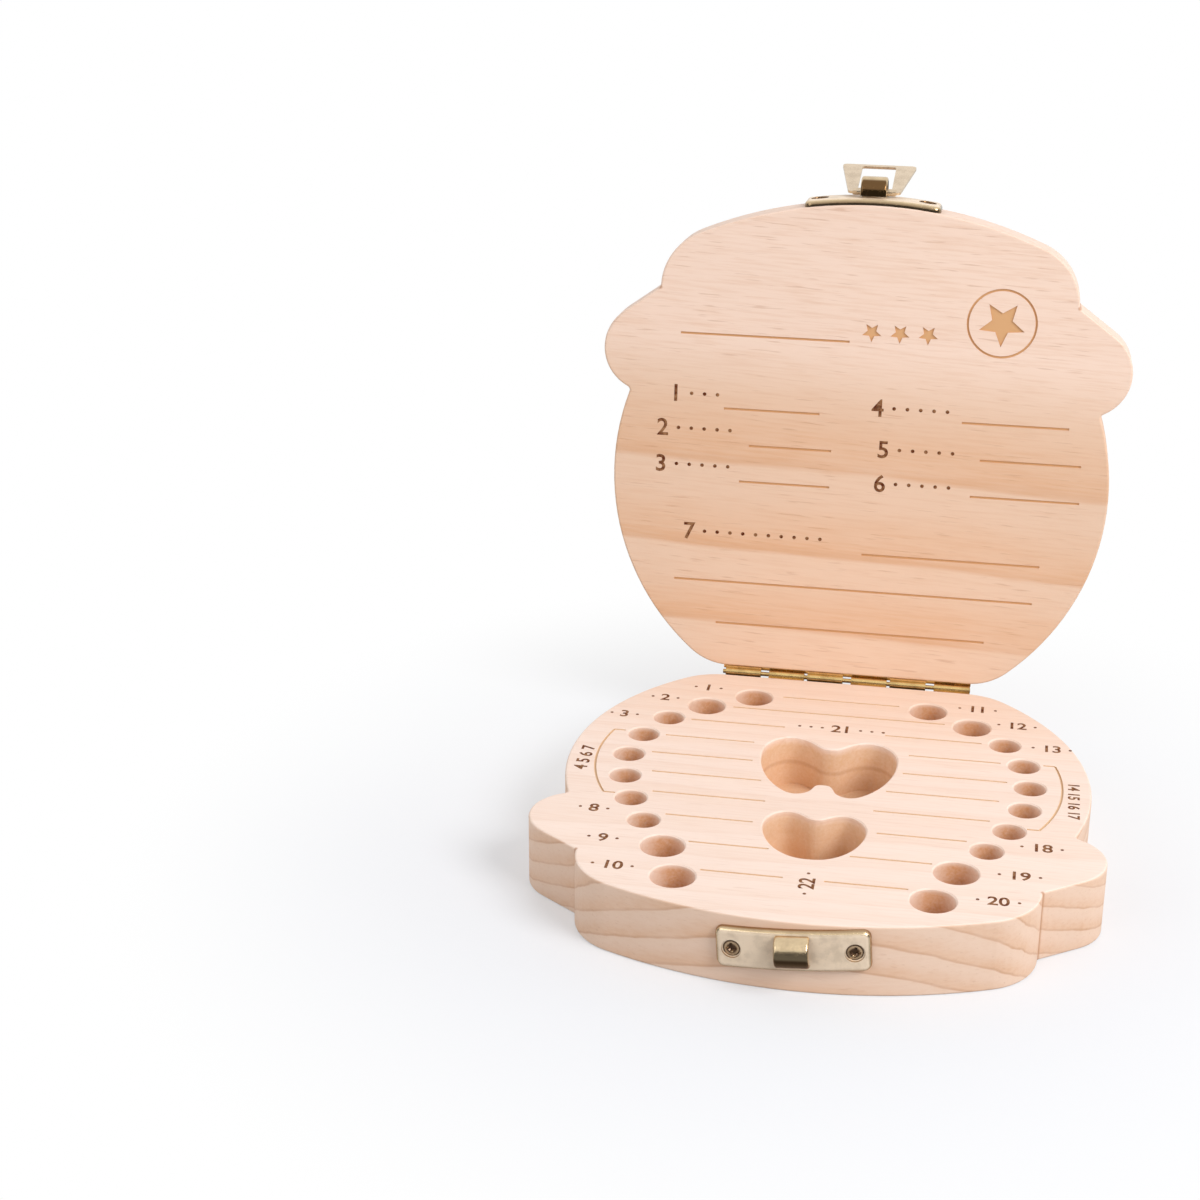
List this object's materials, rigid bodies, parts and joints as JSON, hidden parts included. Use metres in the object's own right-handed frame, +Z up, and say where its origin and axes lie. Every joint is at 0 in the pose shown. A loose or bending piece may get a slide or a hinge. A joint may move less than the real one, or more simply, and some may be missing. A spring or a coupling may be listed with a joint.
{
  "type": "baby tooth box",
  "caption": "Head-shaped wooden keepsake box with tooth sockets and two pockets in its base, a hinged lid and a hook-and-loop latch.",
  "frame": {"origin": "middle of the base block's underside", "axes": "+X to the right seen from the chin, +Y from the chin to the hinge, +Z up"},
  "size_m": [0.122, 0.1509, 0.135],
  "materials": {
    "base_wood": "bare sanded pine",
    "lid_wood": "bare sanded pine",
    "hinge_brass": "thin brass plating",
    "latch_metal": "worn nickel plating"
  },
  "bodies": {
    "base": {"base_block": "base_wood", "hinge_leaf_base": "hinge_brass", "hinge_pin": "hinge_brass", "hinge_screws_base": "hinge_brass", "keeper_plate": "latch_metal", "keeper_screws": "latch_metal"},
    "lid": {"lid_panel": "lid_wood", "hinge_leaf_lid": "hinge_brass", "hinge_screws_lid": "hinge_brass", "latch_plate": "latch_metal", "latch_screws": "latch_metal"},
    "flap": {"latch_flap": "latch_metal"}
  },
  "joints": [
    {"name": "lid_hinge", "type": "hinge", "parent": "base", "child": "lid", "pos_m": [0, 0.05775, 0.01607], "axis": [-1, 0, 0], "range_deg": [-96, 80]},
    {"name": "flap_hinge", "type": "hinge", "parent": "lid", "child": "flap", "pos_m": [0, 0.07448, 0.13151], "axis": [-1, 0, 0], "range_deg": [-164.5, 11.5]}
  ]
}
